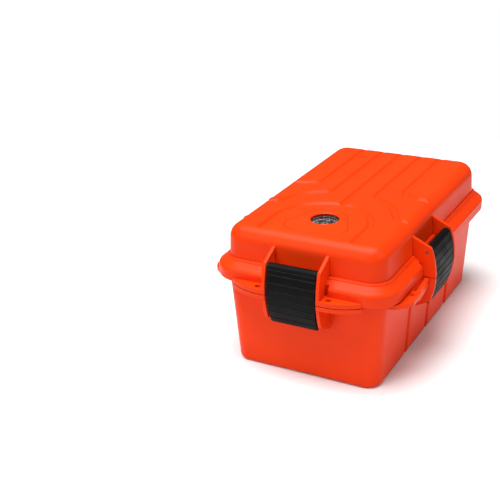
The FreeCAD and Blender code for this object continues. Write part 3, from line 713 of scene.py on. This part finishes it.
# ------------------------------------------------------------------- operators
class FIRSTAID_OT_effects(bpy.types.Operator):
    """Make the effect groups that the finishes share"""

    bl_idname = "firstaid.effects"
    bl_label = "Surface Effects"

    def execute(self, context):
        for make in (make_mould_grain, make_edge_wear, make_scuffs, make_smudges,
                     make_dirt_and_shade_mask, make_drawn_lines):
            make()
        return {"FINISHED"}


class FIRSTAID_OT_shell(bpy.types.Operator):
    """Finish the tub, the lid and the compass cover in moulded orange plastic"""

    bl_idname = "firstaid.shell"
    bl_label = "Tub, Lid and Cover"

    def execute(self, context):
        material = orange_plastic(context.scene.firstaid_shell)
        finish_nodes(("tub", "lid", "compass_cover"), material)
        return {"FINISHED"}


class FIRSTAID_OT_latches(bpy.types.Operator):
    """Finish the three latches in black plastic"""

    bl_idname = "firstaid.latches"
    bl_label = "Latches"

    def execute(self, context):
        material = black_plastic(context.scene.firstaid_latches)
        finish_nodes(("front_latch", "left_latch", "right_latch"), material)
        return {"FINISHED"}


class FIRSTAID_OT_seals(bpy.types.Operator):
    """Finish the lid gasket and the window seal in rubber"""

    bl_idname = "firstaid.seals"
    bl_label = "Gasket and Seal"

    def execute(self, context):
        seals = context.scene.firstaid_seals
        finish_nodes(("lid_gasket",), rubber("gasket_rubber", seals))
        finish_nodes(("compass_seal",), rubber("seal_rubber", seals))
        return {"FINISHED"}


class FIRSTAID_OT_pins(bpy.types.Operator):
    """Finish the hinge and latch pins, the magnet, the needle and its bearing"""

    bl_idname = "firstaid.pins"
    bl_label = "Pins and Bearing"

    def execute(self, context):
        pins = context.scene.firstaid_pins
        steel = drawn_metal("pin_steel", pins.steel_colour, STEEL_TARNISH, pins)
        magnet = drawn_metal("magnet_steel", MAGNET_COLOUR, MAGNET_TARNISH, pins)
        brass = drawn_metal("bearing_brass", pins.brass_colour, BRASS_TARNISH, pins)
        finish_nodes([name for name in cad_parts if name.endswith("_pin")], steel)
        finish_nodes(("compass_pivot",), steel)
        finish_nodes(("compass_magnet",), magnet)
        finish_nodes(("compass_bearing",), brass)
        return {"FINISHED"}


class FIRSTAID_OT_compass(bpy.types.Operator):
    """Finish the capsule, window and dial card, and print the dial's marks"""

    bl_idname = "firstaid.compass"
    bl_label = "Compass"

    def execute(self, context):
        compass = context.scene.firstaid_compass
        finish_nodes(("compass_capsule",), capsule_plastic(compass))
        finish_nodes(("compass_lens",), clear_lens())
        finish_nodes(("compass_card",), dial_card(compass))
        radius = (CARD_HIGH.x - CARD_LOW.x) / 2
        bright = dial_print("bright_print", compass.print_colour, BRIGHT_PRINT_WORN)
        dim = dial_print("dim_print", compass.dim_colour, DIM_PRINT_WORN)
        dial_ticks(compass, radius, bright)
        dial_rose(compass, radius, bright, dim)
        dial_numerals(compass, radius, bright)
        return {"FINISHED"}


class FIRSTAID_OT_stage(bpy.types.Operator):
    """Set the floor, the soft lights, the white room and the camera"""

    bl_idname = "firstaid.stage"
    bl_label = "Floor, Lights and Camera"

    def execute(self, context):
        stage = context.scene.firstaid_stage
        self.make_floor(stage)
        self.make_room(context.scene, stage)
        self.make_lights(stage)
        self.make_camera(context.scene, stage)
        return {"FINISHED"}

    def make_floor(self, stage):
        mesh = bmesh.new()
        bmesh.ops.create_circle(mesh, cap_ends=True, radius=stage.floor_radius,
                                 segments=CIRCLE_STEPS)
        data = bpy.data.meshes.new("floor")
        mesh.to_mesh(data)
        mesh.free()
        floor = bpy.data.objects.new("floor", data)
        floor.location = (BOX_CENTRE.x, BOX_CENTRE.y, CAD_BOX[0].z)
        bpy.context.scene.collection.objects.link(floor)
        data.materials.append(floor_paper(stage))

    def make_room(self, scene, stage):
        world = bpy.data.worlds.new("white_room")
        world.use_nodes = True
        tree = world.node_tree
        background = tree.nodes["Background"]
        # White to the camera, dim to the box, so that the backdrop doesn't wash out the plastic.
        background.inputs["Color"].default_value = (1, 1, 1, 1)
        seen = tree.nodes.new("ShaderNodeLightPath").outputs["Is Camera Ray"]
        tree.links.new(ramp(tree, seen, 0, 1, stage.sky, 1.0), background.inputs["Strength"])
        scene.world = world
        scene.view_settings.view_transform = "Standard"

    def make_lights(self, stage):
        lamps = (
            ("key_light", KEY_PLACE, KEY_SIZE, stage.key_power),
            ("front_light", FRONT_PLACE, FRONT_SIZE, stage.front_power),
            ("side_light", SIDE_PLACE, SIDE_SIZE, stage.side_power),
        )
        for name, place_at, size, power in lamps:
            lamp = bpy.data.lights.new(name, "AREA")
            lamp.shape = "DISK"
            lamp.size = size
            lamp.energy = power
            body = bpy.data.objects.new(name, lamp)
            body.location = place_at
            aim = BOX_CENTRE - Vector(place_at)
            body.rotation_euler = aim.to_track_quat("-Z", "Y").to_euler()
            bpy.context.scene.collection.objects.link(body)

    def make_camera(self, scene, stage):
        data = bpy.data.cameras.new("camera")
        data.sensor_width = SENSOR_WIDTH
        data.lens = stage.camera_lens
        data.clip_end = CAMERA_REACH
        camera = bpy.data.objects.new("camera", data)
        place_at = Vector(stage.camera_place)
        aim = Vector(stage.camera_aim) - place_at
        level = aim.to_track_quat("-Z", "Y").to_matrix().to_4x4()
        roll = Matrix.Rotation(stage.camera_roll, 4, "Z")
        camera.matrix_world = Matrix.Translation(place_at) @ level @ roll
        scene.collection.objects.link(camera)
        scene.camera = camera


class FIRSTAID_PT_panel(bpy.types.Panel):
    """Buttons and settings of the first aid box"""

    bl_idname = "FIRSTAID_PT_panel"
    bl_label = "First Aid Box"
    bl_space_type = "VIEW_3D"
    bl_region_type = "UI"
    bl_category = "First Aid Box"

    def draw(self, context):
        for operator in OPERATORS:
            self.layout.operator(operator.bl_idname)
        for attribute, group in SETTINGS.items():
            box = self.layout.box()
            box.label(text=group.__doc__)
            values = getattr(context.scene, attribute)
            for label in group.__annotations__:
                box.prop(values, label)


SETTINGS = {
    "firstaid_shell": ShellSettings,
    "firstaid_latches": LatchSettings,
    "firstaid_seals": SealSettings,
    "firstaid_pins": PinSettings,
    "firstaid_compass": CompassSettings,
    "firstaid_stage": StageSettings,
}
OPERATORS = (
    FIRSTAID_OT_effects,
    FIRSTAID_OT_shell,
    FIRSTAID_OT_latches,
    FIRSTAID_OT_seals,
    FIRSTAID_OT_pins,
    FIRSTAID_OT_compass,
    FIRSTAID_OT_stage,
)


def register():
    """Registers every class and hangs the settings on the scene."""
    for cls in (*SETTINGS.values(), *OPERATORS, FIRSTAID_PT_panel):
        bpy.utils.register_class(cls)
    for attribute, group in SETTINGS.items():
        setattr(bpy.types.Scene, attribute, bpy.props.PointerProperty(type=group))


def unregister():
    """Takes away what register adds."""
    for attribute in SETTINGS:
        delattr(bpy.types.Scene, attribute)
    for cls in reversed((*SETTINGS.values(), *OPERATORS, FIRSTAID_PT_panel)):
        bpy.utils.unregister_class(cls)


def main():
    """Builds everything in order."""
    register()
    bpy.ops.firstaid.effects()
    bpy.ops.firstaid.shell()
    bpy.ops.firstaid.latches()
    bpy.ops.firstaid.seals()
    bpy.ops.firstaid.pins()
    bpy.ops.firstaid.compass()
    bpy.ops.firstaid.stage()


if __name__ == "__main__":
    main()
